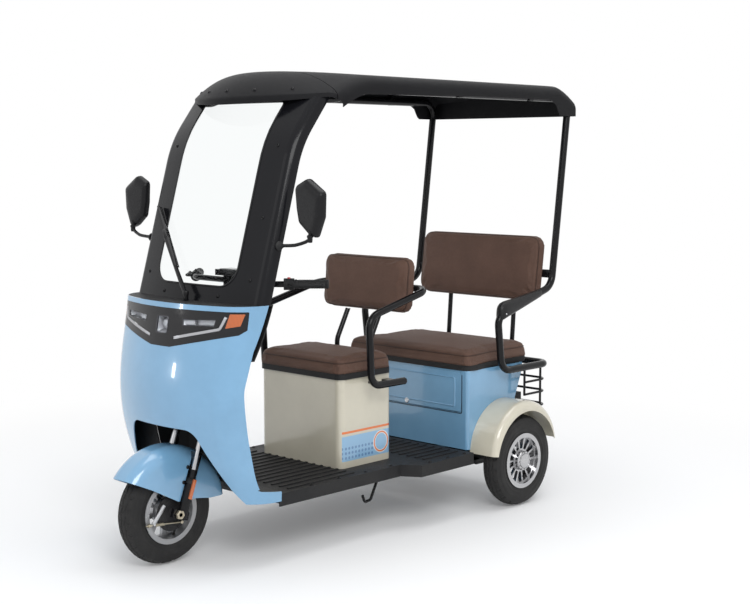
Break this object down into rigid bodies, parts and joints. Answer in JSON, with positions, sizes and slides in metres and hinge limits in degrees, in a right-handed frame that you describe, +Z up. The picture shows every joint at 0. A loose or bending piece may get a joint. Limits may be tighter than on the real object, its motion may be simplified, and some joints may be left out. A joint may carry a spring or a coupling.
{
  "type": "electric passenger tricycle",
  "caption": "Small electric tricycle with a steered front wheel, windscreen and canopy, a driver's seat on a box, a passenger bench with a hatch box and a wire basket behind.",
  "frame": {"origin": "centre of the vehicle's bounding box, on the ground", "axes": "+Z up, -Y forward, +X to the rider's left"},
  "size_m": [1.09, 2.1011, 1.745],
  "materials": {
    "blue_paint": "gloss",
    "cream_paint": "gloss",
    "black_paint": "semi-gloss",
    "black_plastic": "satin",
    "gloss_black": "gloss",
    "tyre_rubber": "matte",
    "grip_rubber": "matte",
    "rim_metal": "machined",
    "dark_cast": "painted",
    "steel": "bright",
    "lens_clear": "gloss",
    "lens_amber": "gloss",
    "lens_red": "gloss",
    "screen_glass": "gloss",
    "mirror_face": "mirror",
    "seat_cover": "satin",
    "cell_block": "matte"
  },
  "bodies": {
    "chassis": {"armrest_pads": "grip_rubber", "battery_pack": "cell_block", "chassis_frame": "black_paint", "column_cover": "black_plastic", "dash_panel": "black_plastic", "floor_deck": "black_plastic", "front_arm_loop": "black_paint", "front_backrest": "seat_cover", "front_seat_box": "cream_paint", "front_shell": "blue_paint", "headlamps": "lens_clear", "indicators": "lens_amber", "lamp_band": "gloss_black", "leaf_springs": "black_paint", "leg_shield": "black_plastic", "mirror_glasses": "mirror_face", "mirrors": "black_plastic", "rear_axle": "dark_cast", "rear_backrest": "seat_cover", "rear_basket": "black_paint", "rear_cross_tubes": "black_paint", "rear_fender_left": "cream_paint", "rear_fender_right": "cream_paint", "rear_frame_left": "black_paint", "rear_frame_right": "black_paint", "rear_seat_box": "blue_paint", "roof_bows": "black_paint", "roof_cap": "black_plastic", "roof_panel": "black_plastic", "stand_hook": "black_paint", "tail_lamps": "lens_red", "tail_panel": "black_plastic", "windscreen_frame": "gloss_black", "windscreen_pane": "screen_glass", "wiper": "black_paint"},
    "steering": {"front_fork": "black_paint", "front_brake": "dark_cast", "front_fender": "blue_paint", "fork_reflectors": "lens_amber", "handlebar": "black_paint", "grips": "grip_rubber", "hand_controls": "steel"},
    "front_wheel": {"front_tyre": "tyre_rubber", "front_rim": "rim_metal"},
    "rear_left_wheel": {"rear_tyre_left": "tyre_rubber", "rear_rim_left": "rim_metal"},
    "rear_right_wheel": {"rear_tyre_right": "tyre_rubber", "rear_rim_right": "rim_metal"},
    "front_seat_lid": {"front_seat_pan": "black_plastic", "front_seat_cushion": "seat_cover"},
    "rear_seat_lid": {"rear_seat_pan": "black_plastic", "rear_seat_cushion": "seat_cover"},
    "rear_hatch_door": {"rear_hatch": "blue_paint"}
  },
  "joints": [
    {"name": "steer", "type": "hinge", "parent": "chassis", "child": "steering", "pos_m": [0, -0.812, 0.188], "axis": [0, 0.342, 0.9397], "range_deg": [-28, 28]},
    {"name": "front_spin", "type": "hinge", "parent": "steering", "child": "front_wheel", "pos_m": [0, -0.861, 0.188], "axis": [1, 0, 0], "continuous": true},
    {"name": "rear_left_spin", "type": "hinge", "parent": "chassis", "child": "rear_left_wheel", "pos_m": [0.407, 0.647, 0.188], "axis": [1, 0, 0], "continuous": true},
    {"name": "rear_right_spin", "type": "hinge", "parent": "chassis", "child": "rear_right_wheel", "pos_m": [-0.407, 0.647, 0.188], "axis": [1, 0, 0], "continuous": true},
    {"name": "front_seat_tilt", "type": "hinge", "parent": "chassis", "child": "front_seat_lid", "pos_m": [0, -0.207, 0.5993], "axis": [1, 0, 0], "range_deg": [0, 75]},
    {"name": "rear_seat_tilt", "type": "hinge", "parent": "chassis", "child": "rear_seat_lid", "pos_m": [0, 0.415, 0.5733], "axis": [1, 0, 0], "range_deg": [0, 75]},
    {"name": "rear_hatch_swing", "type": "hinge", "parent": "chassis", "child": "rear_hatch_door", "pos_m": [0, 0.42, 0.5647], "axis": [-1, 0, 0], "range_deg": [0, 80]}
  ]
}
